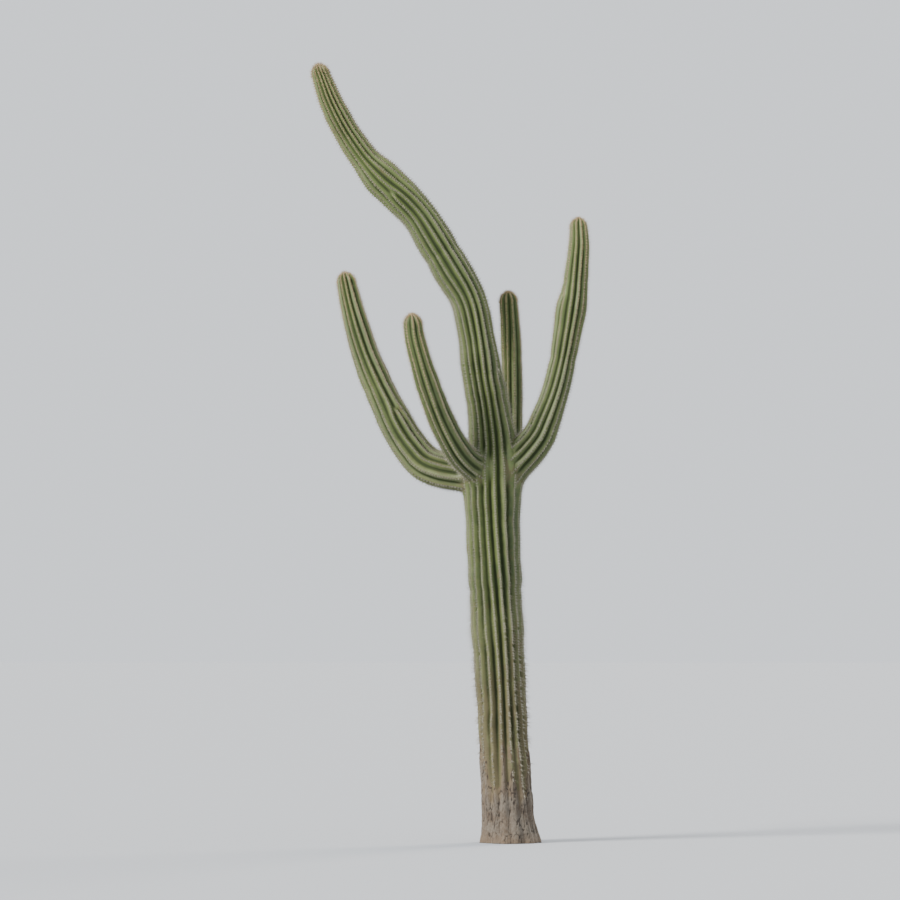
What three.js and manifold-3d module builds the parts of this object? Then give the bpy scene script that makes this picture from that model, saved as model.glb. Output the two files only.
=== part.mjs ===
// A saguaro cactus: one ribbed trunk that leans over to the left in its upper half, and four ribbed arms
// that leave it at about the same height and turn upwards. Millimetres, +Z up, +X to the viewer's right,
// +Y away from the viewer. The origin is the middle of the flat cut at ground level.

import * as THREE from "three";
import { mergeVertices } from "three/addons/utils/BufferGeometryUtils.js";
import Module from "manifold-3d";

const wasm = await Module();
wasm.setup();

// Distance that a solid is grown by before its neighbour is cut clear of it. Square to the steep sides of a
// groove it leaves about half as much.
const CLEARANCE = 0.6;

// The pleats of every stem: their depth as a share of the stem's width, and the share of a plain wave in their
// section, whose rest is a narrow fold
const GROOVE_SHARE = 0.09;
const WAVE_SHARE = 0.55;

// How finely the stems are sampled: points round each rib, and rings from one station to the next
const SAMPLES_PER_RIB = 4;
const RINGS_PER_SPAN = 2;

// Corky foot of the trunk, where age has filled the grooves: their share left at the ground, and its height
const FOOT_GROOVE_LEFT = 0.3;
const FOOT_HEIGHT = 1300;

// Rounded tip: its height as a share of the width it stands on, and the steps of its curve in degrees
const TIP_HEIGHT_SHARE = 0.56;
const TIP_STEPS_DEG = [30, 56, 77];

// How far the trunk's axis stands to the right of the foot where the arms leave it
const CROWN_RIGHT = -140;

// Trunk stations from the ground to the foot of its rounded tip: height, shift to the right, shift away from
// the viewer, and width across the ribs
const TRUNK = {
  name: "trunk",
  ribs: 18,
  turns: 0.1,
  stations: [
    { up: 0, right: 0, away: 0, width: 500 },
    { up: 200, right: -10, away: 2, width: 436 },
    { up: 620, right: -32, away: 6, width: 416 },
    { up: 1300, right: -72, away: 11, width: 420 },
    { up: 1900, right: -104, away: 11, width: 442 },
    { up: 2520, right: -132, away: 6, width: 448 },
    { up: 2960, right: -142, away: 0, width: 470 },
    { up: 3330, right: -140, away: -4, width: 410 },
    { up: 3650, right: -174, away: -6, width: 362 },
    { up: 3970, right: -232, away: -2, width: 338 },
    { up: 4290, right: -280, away: 6, width: 306 },
    { up: 4570, right: -342, away: 16, width: 302 },
    { up: 4825, right: -480, away: 26, width: 322 },
    { up: 5060, right: -618, away: 36, width: 312 },
    { up: 5290, right: -760, away: 48, width: 296 },
    { up: 5475, right: -930, away: 60, width: 312 },
    { up: 5625, right: -1084, away: 70, width: 312 },
    { up: 5790, right: -1230, away: 78, width: 244 },
    { up: 6010, right: -1379, away: 86, width: 216 },
    { up: 6260, right: -1508, away: 92, width: 200 },
    { up: 6512, right: -1602, away: 98, width: 154 },
  ],
};

// Arm stations in the arm's own upright plane: distance out from the trunk's axis, height and width. facing is
// the compass turn of that plane, from +X towards +Y, and sway is how far the tip stands off it. The elbow ends
// at station elbowEnd, where the arm has turned upwards.
const ARMS = [
  {
    name: "left_arm",
    facing: 166,
    sway: -90,
    ribs: 13,
    turns: 0.04,
    elbowEnd: 3,
    stations: [
      { out: 70, up: 3108, width: 268 },
      { out: 300, up: 3106, width: 292 },
      { out: 560, up: 3180, width: 308 },
      { out: 706, up: 3322, width: 296 },
      { out: 826, up: 3500, width: 290 },
      { out: 982, up: 3800, width: 264 },
      { out: 1110, up: 4090, width: 238 },
      { out: 1194, up: 4330, width: 218 },
      { out: 1264, up: 4570, width: 196 },
      { out: 1310, up: 4752, width: 168 },
    ],
  },
  {
    name: "right_arm",
    facing: -10,
    sway: 80,
    ribs: 13,
    turns: -0.05,
    elbowEnd: 3,
    stations: [
      { out: 50, up: 3030, width: 262 },
      { out: 220, up: 3190, width: 280 },
      { out: 380, up: 3385, width: 282 },
      { out: 450, up: 3540, width: 256 },
      { out: 534, up: 3780, width: 230 },
      { out: 592, up: 4020, width: 224 },
      { out: 638, up: 4290, width: 238 },
      { out: 668, up: 4480, width: 264 },
      { out: 698, up: 4640, width: 220 },
      { out: 718, up: 4850, width: 198 },
      { out: 731, up: 5040, width: 172 },
      { out: 726, up: 5175, width: 150 },
    ],
  },
  {
    name: "front_arm",
    facing: 224,
    sway: 30,
    ribs: 11,
    turns: 0.06,
    elbowEnd: 3,
    stations: [
      { out: 70, up: 3112, width: 214 },
      { out: 230, up: 3154, width: 228 },
      { out: 370, up: 3240, width: 232 },
      { out: 500, up: 3382, width: 222 },
      { out: 640, up: 3588, width: 212 },
      { out: 764, up: 3820, width: 200 },
      { out: 860, up: 4035, width: 180 },
      { out: 924, up: 4200, width: 164 },
      { out: 948, up: 4300, width: 156 },
    ],
  },
  {
    name: "back_arm",
    facing: 71,
    sway: 20,
    ribs: 11,
    turns: -0.04,
    elbowEnd: 3,
    stations: [
      { out: 60, up: 3140, width: 170 },
      { out: 250, up: 3152, width: 178 },
      { out: 420, up: 3228, width: 180 },
      { out: 510, up: 3380, width: 178 },
      { out: 540, up: 3600, width: 176 },
      { out: 547, up: 3900, width: 175 },
      { out: 538, up: 4180, width: 174 },
      { out: 516, up: 4410, width: 166 },
      { out: 488, up: 4600, width: 152 },
    ],
  },
];

// Rib height from 0 in the groove to 1 on the crest, at an angle counted in ribs: a round crest and a narrow
// groove
function ribHeight(ribCount) {
  const wave = (1 + Math.cos(2 * Math.PI * ribCount)) / 2;
  const fold = Math.abs(Math.cos(Math.PI * ribCount));
  return WAVE_SHARE * wave + (1 - WAVE_SHARE) * fold;
}

// The smooth curve through a limb's stations, with its width carried by a curve of the same kind
function smoothLimb({ ribs, turns }, places, widths) {
  const line = new THREE.CatmullRomCurve3(places, false, "catmullrom", 0.5);
  const girth = new THREE.CatmullRomCurve3(
    widths.map((width) => new THREE.Vector3(width, 0, 0)),
    false,
    "catmullrom",
    0.5,
  );
  return { line, girth, ribs, turns, spans: places.length - 1 };
}

// Rings of a limb between two stations. Each has a centre, the limb's direction, a width and how far round the
// ribs have turned. A limb that ends in a tip gets the shrinking rings of a dome on its last ring.
function ringsOf(limb, firstStation, lastStation, withTip) {
  const rings = [];
  const steps = (lastStation - firstStation) * RINGS_PER_SPAN;
  for (let i = 0; i <= steps; i++) {
    const t = (firstStation + i / RINGS_PER_SPAN) / limb.spans;
    rings.push({
      centre: limb.line.getPoint(t),
      along: limb.line.getTangent(t),
      width: limb.girth.getPoint(t).x,
      turn: limb.turns * t,
    });
  }
  if (withTip) {
    const last = rings[rings.length - 1];
    for (const degrees of TIP_STEPS_DEG) {
      const angle = THREE.MathUtils.degToRad(degrees);
      const rise = last.width * TIP_HEIGHT_SHARE * Math.sin(angle);
      rings.push({
        ...last,
        centre: last.centre.clone().addScaledVector(last.along, rise),
        width: last.width * Math.cos(angle),
      });
    }
  }
  return rings;
}

// Share of the full groove depth at a height: shallow at the corky foot, whole above it
function grooveLeft(height) {
  const share = THREE.MathUtils.smoothstep(height, 0, FOOT_HEIGHT);
  return THREE.MathUtils.lerp(FOOT_GROOVE_LEFT, 1, share);
}

// A closed ribbed stem through the rings: a unit cylinder whose rings of vertices are carried onto them. side is
// a direction that stays square to the limb's bends, and extra is added to the radius all round.
function ribbedStem(rings, ribs, side, extra = 0) {
  const around = ribs * SAMPLES_PER_RIB;
  const steps = rings.length - 1;
  const geometry = new THREE.CylinderGeometry(1, 1, 1, around, steps);
  const position = geometry.getAttribute("position");
  const vertex = new THREE.Vector3();
  for (let i = 0; i < position.count; i++) {
    vertex.fromBufferAttribute(position, i);
    const ring = rings[Math.round((vertex.y + 0.5) * steps)];
    const across = side.clone().addScaledVector(ring.along, -side.dot(ring.along)).normalize();
    const outward = across.clone().cross(ring.along);
    const turned = Math.atan2(vertex.x, vertex.z) / (2 * Math.PI) + ring.turn;
    const groove = GROOVE_SHARE * ring.width * grooveLeft(ring.centre.z);
    const radius = ring.width / 2 - groove * (1 - ribHeight(turned * ribs)) + extra;
    const place = ring.centre.clone();
    place.addScaledVector(across, vertex.x * radius);
    place.addScaledVector(outward, vertex.z * radius);
    position.setXYZ(i, place.x, place.y, place.z);
  }
  return geometry;
}

// A closed geometry as a manifold-3d solid, and back again
function toSolid(geometry) {
  const bare = geometry.clone();
  bare.deleteAttribute("normal");
  bare.deleteAttribute("uv");
  const merged = mergeVertices(bare, 1e-3);
  return new wasm.Manifold(
    new wasm.Mesh({
      numProp: 3,
      vertProperties: merged.getAttribute("position").array,
      triVerts: new Uint32Array(merged.index.array),
    }),
  );
}

function toGeometry(solid) {
  const { vertProperties, triVerts } = solid.getMesh();
  const geometry = new THREE.BufferGeometry();
  geometry.setAttribute("position", new THREE.BufferAttribute(vertProperties, 3));
  geometry.setIndex(new THREE.BufferAttribute(triVerts, 1));
  geometry.computeVertexNormals();
  return geometry;
}

// The main body of a cut solid, without the scraps that the cut leaves in the grooves
function mainBody(solid) {
  return solid.decompose().reduce((main, body) => (body.volume() > main.volume() ? body : main));
}

// The whole trunk in one solid, from its flat cut to the leaning tip. Its first ring lies level.
function trunkGeometry(extra = 0) {
  const places = TRUNK.stations.map(({ right, away, up }) => new THREE.Vector3(right, away, up));
  const widths = TRUNK.stations.map(({ width }) => width);
  const limb = smoothLimb(TRUNK, places, widths);
  const rings = ringsOf(limb, 0, limb.spans, true);
  rings[0].along.set(0, 0, 1);
  return ribbedStem(rings, TRUNK.ribs, new THREE.Vector3(0, 1, 0), extra);
}

// One arm in its own plane, +X outwards: its elbow and its upright stem, which meet in a square cut
function armGeometries(arm, extra = 0) {
  const last = arm.stations.length - 1;
  const places = arm.stations.map(
    ({ out, up }, i) => new THREE.Vector3(out, arm.sway * (i / last) ** 2, up),
  );
  const widths = arm.stations.map(({ width }) => width);
  const limb = smoothLimb(arm, places, widths);
  const side = new THREE.Vector3(0, 1, 0);
  const elbowRings = ringsOf(limb, 0, arm.elbowEnd, false);
  const stemRings = ringsOf(limb, arm.elbowEnd, last, true);
  stemRings[0].centre.addScaledVector(stemRings[0].along, CLEARANCE);
  return {
    elbow: ribbedStem(elbowRings, arm.ribs, side, extra),
    stem: ribbedStem(stemRings, arm.ribs, side, extra),
  };
}

const trunkSkin = new THREE.MeshStandardMaterial({ color: 0x6f7a56, roughness: 0.75, metalness: 0 });
const armSkin = new THREE.MeshStandardMaterial({ color: 0x66784c, roughness: 0.68, metalness: 0 });

function namedMesh(name, geometry, material) {
  const mesh = new THREE.Mesh(geometry, material);
  mesh.name = name;
  return mesh;
}

const cactus = new THREE.Group();
cactus.add(namedMesh(TRUNK.name, trunkGeometry(), trunkSkin));

// Each elbow is cut clear of the trunk and of the arms made before it
let taken = toSolid(trunkGeometry(CLEARANCE));
for (const arm of ARMS) {
  const holder = new THREE.Group();
  holder.position.x = CROWN_RIGHT;
  holder.rotation.z = THREE.MathUtils.degToRad(arm.facing);
  holder.updateMatrix();
  const { elbow, stem } = armGeometries(arm);
  const cut = toSolid(elbow.applyMatrix4(holder.matrix)).subtract(taken);
  const fitted = toGeometry(mainBody(cut)).applyMatrix4(holder.matrix.clone().invert());
  holder.add(namedMesh(arm.name + "_elbow", fitted, armSkin));
  holder.add(namedMesh(arm.name, stem, armSkin));
  cactus.add(holder);
  taken = taken.add(toSolid(armGeometries(arm, CLEARANCE).elbow.applyMatrix4(holder.matrix)));
}

export default cactus;
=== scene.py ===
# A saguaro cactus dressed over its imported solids: ribbed skins, bark on the foot, and the felt pads, wool
# and spines that stand on every rib. Metres, +Z up, +X to the viewer's right and +Y away from the viewer.
# The origin is the middle of the flat cut at ground level.

import bpy
import numpy as np
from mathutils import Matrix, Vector


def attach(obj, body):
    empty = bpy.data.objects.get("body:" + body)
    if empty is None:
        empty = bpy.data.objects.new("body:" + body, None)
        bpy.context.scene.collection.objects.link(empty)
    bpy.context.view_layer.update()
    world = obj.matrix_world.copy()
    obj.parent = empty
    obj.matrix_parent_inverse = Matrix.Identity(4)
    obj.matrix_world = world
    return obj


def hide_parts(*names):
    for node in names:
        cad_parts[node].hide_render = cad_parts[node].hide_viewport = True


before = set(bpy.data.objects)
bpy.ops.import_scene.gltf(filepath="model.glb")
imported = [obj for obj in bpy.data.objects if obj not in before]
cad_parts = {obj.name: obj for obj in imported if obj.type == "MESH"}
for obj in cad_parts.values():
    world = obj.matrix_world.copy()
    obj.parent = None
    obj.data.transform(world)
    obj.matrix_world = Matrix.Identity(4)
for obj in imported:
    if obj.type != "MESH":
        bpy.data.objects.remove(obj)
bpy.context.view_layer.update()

# Skeleton: a ring of woody rods stands inside every stem and gives it its line. The trunk's leans over to
# the left in two bends above its middle. Four arms left it at about one height, grew outwards and then
# turned up towards the light, each in an upright plane of its own.

# The trunk from the ground to the foot of its domed tip: right, away, up, and width across the ribs
TRUNK_STATIONS = (
    (0.000, 0.000, 0.000, 0.500),
    (-0.010, 0.002, 0.200, 0.436),
    (-0.032, 0.006, 0.620, 0.416),
    (-0.072, 0.011, 1.300, 0.420),
    (-0.104, 0.011, 1.900, 0.442),
    (-0.132, 0.006, 2.520, 0.448),
    (-0.142, 0.000, 2.960, 0.470),
    (-0.140, -0.004, 3.330, 0.410),
    (-0.174, -0.006, 3.650, 0.362),
    (-0.232, -0.002, 3.970, 0.338),
    (-0.280, 0.006, 4.290, 0.306),
    (-0.342, 0.016, 4.570, 0.302),
    (-0.480, 0.026, 4.825, 0.322),
    (-0.618, 0.036, 5.060, 0.312),
    (-0.760, 0.048, 5.290, 0.296),
    (-0.930, 0.060, 5.475, 0.312),
    (-1.084, 0.070, 5.625, 0.312),
    (-1.230, 0.078, 5.790, 0.244),
    (-1.379, 0.086, 6.010, 0.216),
    (-1.508, 0.092, 6.260, 0.200),
    (-1.602, 0.098, 6.512, 0.154),
)

# Ribs of the trunk that run its whole length, how far they turn round it, and where others start or end: the
# angle round the stem, the length up it, and +1 for a rib that ends going up or -1 for one that starts. Then
# the lengths at which a waist pinches it
TRUNK_RIBS = 12
TRUNK_TURNS = 0.1
TRUNK_RIB_CHANGES = (
    (0.6, 0.72, -1),
    (3.5, 1.05, -1),
    (5.9, 3.95, 1),
    (2.6, 4.55, 1),
    (4.4, 5.70, 1),
    (1.2, 6.35, 1),
)
TRUNK_WAISTS = (2.12, 3.72, 5.05, 6.62)

# The arms leave the trunk where its axis stands this far to the right. Each has the compass turn of its
# plane, how far its tip sways off that plane, ribs and waists as on the trunk, and stations: distance out
# from the axis, height, and width
CROWN_RIGHT = -0.140
ARMS = (
    {
        "name": "left_arm", "facing": 166, "sway": -0.090, "ribs": 11, "turns": 0.04,
        "rib_changes": ((2.2, 1.05, 1), (4.9, 1.60, 1)), "waists": (1.32,),
        "stations": (
            (0.070, 3.108, 0.268), (0.300, 3.106, 0.292), (0.560, 3.180, 0.308), (0.706, 3.322, 0.296),
            (0.826, 3.500, 0.290), (0.982, 3.800, 0.264), (1.110, 4.090, 0.238), (1.194, 4.330, 0.218),
            (1.264, 4.570, 0.196), (1.310, 4.752, 0.168),
        ),
    },
    {
        "name": "right_arm", "facing": -10, "sway": 0.080, "ribs": 11, "turns": -0.05,
        "rib_changes": ((0.9, 0.60, 1), (3.9, 1.72, 1)), "waists": (1.20, 1.86),
        "stations": (
            (0.050, 3.030, 0.262), (0.220, 3.190, 0.280), (0.380, 3.385, 0.282), (0.450, 3.540, 0.256),
            (0.534, 3.780, 0.230), (0.592, 4.020, 0.224), (0.638, 4.290, 0.238), (0.668, 4.480, 0.264),
            (0.698, 4.640, 0.220), (0.718, 4.850, 0.198), (0.731, 5.040, 0.172), (0.726, 5.175, 0.150),
        ),
    },
    {
        "name": "front_arm", "facing": 224, "sway": 0.030, "ribs": 10, "turns": 0.06,
        "rib_changes": ((3.0, 0.85, 1),), "waists": (0.98,),
        "stations": (
            (0.070, 3.112, 0.214), (0.230, 3.154, 0.228), (0.370, 3.240, 0.232), (0.500, 3.382, 0.222),
            (0.640, 3.588, 0.212), (0.764, 3.820, 0.200), (0.860, 4.035, 0.180), (0.924, 4.200, 0.164),
            (0.948, 4.300, 0.156),
        ),
    },
    {
        "name": "back_arm", "facing": 71, "sway": 0.020, "ribs": 10, "turns": -0.04,
        "rib_changes": ((1.4, 0.95, 1),), "waists": (1.28,),
        "stations": (
            (0.060, 3.140, 0.170), (0.250, 3.152, 0.178), (0.420, 3.228, 0.180), (0.510, 3.380, 0.178),
            (0.540, 3.600, 0.176), (0.547, 3.900, 0.175), (0.538, 4.180, 0.174), (0.516, 4.410, 0.166),
            (0.488, 4.600, 0.152),
        ),
    },
)

# The domed tips: height as a share of the width that a dome stands on
TIP_HEIGHT_SHARE = 0.56

# The trunk stands square on the ground: its rings lie level there, and above this length lean with its line
LEVEL_LENGTH = 0.30

# Samples of a stem's axis in a span between two stations
AXIS_SAMPLES = 40


def smooth_step(value, low, high):
    """0 below low, 1 above high, and the cubic 3t^2 - 2t^3 of the way between them."""
    t = np.clip((value - low) / (high - low), 0, 1)
    return t * t * (3 - 2 * t)


def unit(vectors):
    """The same directions with a length of 1."""
    return vectors / np.linalg.norm(vectors, axis=-1, keepdims=True)


def limb_line(stations, t):
    """Uniform Catmull-Rom curve at t counted in stations, and its slope. Each span is the cubic whose end
    slopes are half the chord between the neighbours. Past either end the next station is mirrored."""
    padded = np.vstack([2 * stations[0] - stations[1], stations, 2 * stations[-1] - stations[-2]])
    span = np.clip(t.astype(int), 0, len(stations) - 2)
    part = (t - span)[:, None]
    before, start, end, after = (padded[span + k] for k in range(4))
    start_slope, end_slope = (end - before) / 2, (after - start) / 2
    cubic = 2 * (start - end) + start_slope + end_slope
    square = 3 * (end - start) - 2 * start_slope - end_slope
    place = ((cubic * part + square) * part + start_slope) * part + start
    return place, (3 * cubic * part + 2 * square) * part + start_slope


def grown_stem(stations, side, ribs, turns, rib_changes, waists, rooted=False):
    """A stem's facts: its stations, the direction that stays square to its bends, its ribs and waists, a
    table that gives the curve's t at a length, and the lengths of its axis, of its dome and of both."""
    stations = np.array(stations)
    t = np.linspace(0, len(stations) - 1, AXIS_SAMPLES * (len(stations) - 1) + 1)
    axis = limb_line(stations, t)[0]
    steps = np.linalg.norm(np.diff(axis[:, :3], axis=0), axis=1)
    lengths = np.concatenate([[0], np.cumsum(steps)])
    dome = np.pi / 2 * stations[-1, 3] / 2
    return {
        "stations": stations, "side": np.array(side, float), "ribs": ribs, "turns": turns,
        "rib_changes": rib_changes, "waists": waists, "rooted": rooted,
        "t": t, "lengths": lengths, "axis": axis,
        "length": lengths[-1], "dome": dome, "end": lengths[-1] + dome,
    }


def arm_stem(arm):
    """An arm as a stem in the plant's frame: its plane is turned round the trunk's axis by facing, and it
    sways off that plane by the square of the share of the way up."""
    rows = np.array(arm["stations"])
    turn = np.radians(arm["facing"])
    sway = arm["sway"] * (np.arange(len(rows)) / (len(rows) - 1)) ** 2
    right = CROWN_RIGHT + rows[:, 0] * np.cos(turn) - sway * np.sin(turn)
    away = rows[:, 0] * np.sin(turn) + sway * np.cos(turn)
    stations = np.stack([right, away, rows[:, 1], rows[:, 2]], axis=-1)
    side = (-np.sin(turn), np.cos(turn), 0)
    return grown_stem(stations, side, arm["ribs"], arm["turns"], arm["rib_changes"], arm["waists"])


def stem_rings(stem, length):
    """Rings of a stem at lengths along it. Up to the end of the axis a ring lies square to the curve. Past
    it they climb a dome: an angle grows evenly, the radius follows its cosine and the rise its sine."""
    place, slope = limb_line(stem["stations"], np.interp(length, stem["lengths"], stem["t"]))
    along = unit(slope[:, :3])
    if stem["rooted"]:
        leaning = smooth_step(length, 0, LEVEL_LENGTH)[:, None]
        along = unit(leaning * along + (1 - leaning) * (0, 0, 1))
    lift = np.clip((length - stem["length"]) / stem["dome"], 0, 1) * np.pi / 2
    rise = TIP_HEIGHT_SHARE * place[:, 3] * np.sin(lift)
    across = unit(stem["side"] - (along @ stem["side"])[:, None] * along)
    return {
        "length": length, "lift": lift, "along": along, "across": across,
        "outward": np.cross(across, along),
        "centre": place[:, :3] + rise[:, None] * along,
        "radius": place[:, 3] / 2 * np.cos(lift),
    }


trunk = grown_stem(
    TRUNK_STATIONS, (0, 1, 0), TRUNK_RIBS, TRUNK_TURNS, TRUNK_RIB_CHANGES, TRUNK_WAISTS, rooted=True
)
arms = [arm_stem(arm) for arm in ARMS]
stems = [trunk] + arms
for stem in stems:
    stem["others"] = [other for other in stems if other is not stem]

# Trunk skin: a tough waxy grey-green rind, pleated into ribs that open and close as the plant drinks and
# dries. New ribs start near the foot, where the young stem widened, and some end again in its thinner upper
# half. Each year's growth leaves a slight swelling, and a dry or cold year a waist.
TRUNK_COLUMNS = 216
TRUNK_ROWS = 440
TIP_ROWS = 14
LAST_RING_SHARE = 0.96

# The skin starts inside the bark of the foot, which is the trunk's surface below it
SKIN_START = 0.25

# The pleats: groove depth as a share of the width, the share of a plain wave in a section that is otherwise
# a narrow fold, and the share of the depth that is filled at the old foot, less and less up to a height
GROOVE_SHARE = 0.09
WAVE_SHARE = 0.55
MEAN_RIB_HEIGHT = WAVE_SHARE / 2 + (1 - WAVE_SHARE) * 2 / np.pi
FOOT_FILLING = 0.7
FOOT_HEIGHT = 1.3

# Where a rib starts or ends, its pattern fades over this angle round the stem, which is half a rib
RIB_END_ANGLE = 0.20

# Ribs wander to and fro: by how many ribs, how often in a turn, and by what angle for each metre up
RIB_WANDERS = ((0.14, 2, 1.3), (0.09, 3, -2.1))

# The years' swellings: their share of the width, the length of a year's growth, how many radians the years
# run ahead or fall behind, and the pace of that. Then the waists, by their share and half their length
SWELL_SHARE = 0.012
SWELL_LENGTH = 0.34
SWELL_DRIFT = 1.7
SWELL_DRIFT_PACE = 1.9
WAIST_SHARE = 0.035
WAIST_HALF_LENGTH = 0.040

# Layers of noise, each by its strength, cells to a metre and seed: lumps as shares of the width, and grooves
# that run deeper and shallower. These change in a slow spiral too, by its strength, turns and pace
LUMP_LAYERS = ((0.022, 4.5, 1), (0.010, 13.0, 2))
GROOVE_LAYERS = ((0.16, 7.0, 3),)
GROOVE_SPIRAL = (0.08, 5, -1.7)

# Where two stems meet, the skin rises into the crease from as far off as this. Its grooves flatten out, from
# where a nearness that is 1 in the crease has passed a start
SHOULDER_REACH = 0.14
SHOULDER_RISE = 0.030
SHOULDER_FLATTENING = 0.80
FLATTENING_START = 0.35

# Another stem counts as a row of balls on every few samples of its axis, and out of their reach as far off
BALL_STRIDE = 6
BALL_REACH = 0.3
FAR_OFF = 1.0

# The random numbers of a noise repeat after so many cells
LATTICE_CELLS = 48


def grain(places, cells_per_metre, seed):
    """Smooth noise from -1 to 1: random numbers on a cubic lattice, mixed by the cubic 3t^2 - 2t^3 of the
    way between the eight that surround each place. The lattice may be finer along one axis than another."""
    lattice = np.random.default_rng(seed).uniform(-1, 1, (LATTICE_CELLS,) * 3)
    scaled = places * np.array(cells_per_metre)
    corner = np.floor(scaled).astype(int)
    part = scaled - corner
    part = part * part * (3 - 2 * part)
    total = np.zeros(places.shape[:-1])
    for step in np.ndindex(2, 2, 2):
        weight = np.prod(np.where(step, part, 1 - part), axis=-1)
        x, y, z = np.moveaxis((corner + step) % LATTICE_CELLS, -1, 0)
        total += weight * lattice[x, y, z]
    return total


def layered_grain(places, layers):
    """The sum of several noises, each by its strength, cells to a metre and seed."""
    return sum(strength * grain(places, cells, seed) for strength, cells, seed in layers)


def rib_phase(stem, length, angle):
    """Angle round a stem counted in ribs, whole on a crest, and how plain the rib pattern is there. Slow
    sines make the ribs wander. Each change of their number adds the argument of a complex sine, which winds
    once more round the stem on one side of its place than on the other."""
    phase = stem["ribs"] * (angle / (2 * np.pi) + stem["turns"] * length / stem["length"])
    for wander, turns, pace in RIB_WANDERS:
        phase = phase + wander * np.sin(turns * angle + pace * length)
    plain = np.ones_like(phase)
    for change_angle, change_length, sign in stem["rib_changes"]:
        radius = np.interp(change_length, stem["lengths"], stem["axis"][:, 3]) / 2
        off = (angle - change_angle + np.pi) % (2 * np.pi) - np.pi
        up = (length - change_length) / radius
        winding = np.angle(np.sin((off + 1j * sign * up) / 2))
        phase = phase + (winding + off / 2) / (2 * np.pi)
        plain = plain * (1 - np.exp(-(off ** 2 + up ** 2) / RIB_END_ANGLE ** 2))
    return phase, plain


def rib_height(phase, plain=1):
    """0 in the groove and 1 on the crest: a cosine wave mixed with the absolute cosine of half its angle,
    which gives a round crest and a narrow groove. Where the pattern isn't plain it nears its mean."""
    wave = (1 + np.cos(2 * np.pi * phase)) / 2
    fold = np.abs(np.cos(np.pi * phase))
    height = WAVE_SHARE * wave + (1 - WAVE_SHARE) * fold
    return MEAN_RIB_HEIGHT + plain * (height - MEAN_RIB_HEIGHT)


def depth_outside(points, stem):
    """Distance from points to a stem's mean surface: to the nearest ball on its axis, less its radius."""
    balls = stem["axis"][::BALL_STRIDE]
    centre, radius = balls[:, :3], balls[:, 3] / 2 * (1 - GROOVE_SHARE)
    low = (centre - radius[:, None]).min(axis=0) - BALL_REACH
    high = (centre + radius[:, None]).max(axis=0) + BALL_REACH
    near = np.all((points > low) & (points < high), axis=-1)
    distance = np.full(points.shape[:-1], FAR_OFF)
    gaps = np.linalg.norm(points[near][:, None, :] - centre[None, :, :], axis=-1) - radius
    distance[near] = gaps.min(axis=1)
    return distance


def stem_skin(stem, rings, angle):
    """Points of a stem's skin at angles round its rings, with the way they face, the rib phase, how deep in
    a groove and how near another stem they are. The radius is the ring's, swollen and waisted along the
    length, less the groove depth where the rib height falls below 1, and more near another stem by the
    square of what is left of the shoulder's reach."""
    length = rings["length"]
    phase, plain = rib_phase(stem, length, angle)
    sine, cosine = np.sin(angle)[..., None], np.cos(angle)[..., None]
    out = sine * rings["across"] + cosine * rings["outward"]
    middle = rings["centre"] + (rings["radius"] * (1 - GROOVE_SHARE))[..., None] * out
    gap = np.min([depth_outside(middle, other) for other in stem["others"]], axis=0)
    shoulder = np.clip(1 - gap / SHOULDER_REACH, 0, 1)

    year = 2 * np.pi * length / SWELL_LENGTH + SWELL_DRIFT * np.sin(SWELL_DRIFT_PACE * length)
    swell = 1 + SWELL_SHARE * np.sin(year)
    for waist in stem["waists"]:
        swell = swell - WAIST_SHARE * np.exp(-((length - waist) / WAIST_HALF_LENGTH) ** 2)
    lump = layered_grain(middle, LUMP_LAYERS)

    open_share = 1 - SHOULDER_FLATTENING * smooth_step(shoulder, FLATTENING_START, 1.0)
    if stem["rooted"]:
        open_share = open_share * (1 - FOOT_FILLING * (1 - smooth_step(length, 0, FOOT_HEIGHT)))
    strength, turns, pace = GROOVE_SPIRAL
    uneven = 1 + layered_grain(middle, GROOVE_LAYERS) + strength * np.sin(turns * angle + pace * length)
    fold = open_share * uneven * (1 - rib_height(phase, plain))
    radius = rings["radius"] * (swell + lump - 2 * GROOVE_SHARE * fold) + SHOULDER_RISE * shoulder ** 2
    lift = rings["lift"][..., None]
    return {
        "point": rings["centre"] + radius[..., None] * out,
        "facing": np.cos(lift) * out + np.sin(lift) * rings["along"],
        "phase": phase, "fold": fold, "shoulder": shoulder,
    }


def mesh_object(name, vertices, corners, sizes, smooth=True):
    """A new object at the origin from its vertices, its faces' corners in one row, and each face's size."""
    mesh = bpy.data.meshes.new(name)
    mesh.vertices.add(len(vertices))
    mesh.vertices.foreach_set("co", np.ascontiguousarray(vertices, np.float32).ravel())
    mesh.loops.add(len(corners))
    mesh.loops.foreach_set("vertex_index", np.ascontiguousarray(corners, np.int32))
    mesh.polygons.add(len(sizes))
    starts = np.concatenate([[0], np.cumsum(sizes)[:-1]])
    mesh.polygons.foreach_set("loop_start", starts.astype(np.int32))
    mesh.polygons.foreach_set("use_smooth", np.full(len(sizes), smooth))
    mesh.update(calc_edges=True)
    piece = bpy.data.objects.new(name, mesh)
    bpy.context.scene.collection.objects.link(piece)
    return piece


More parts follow.
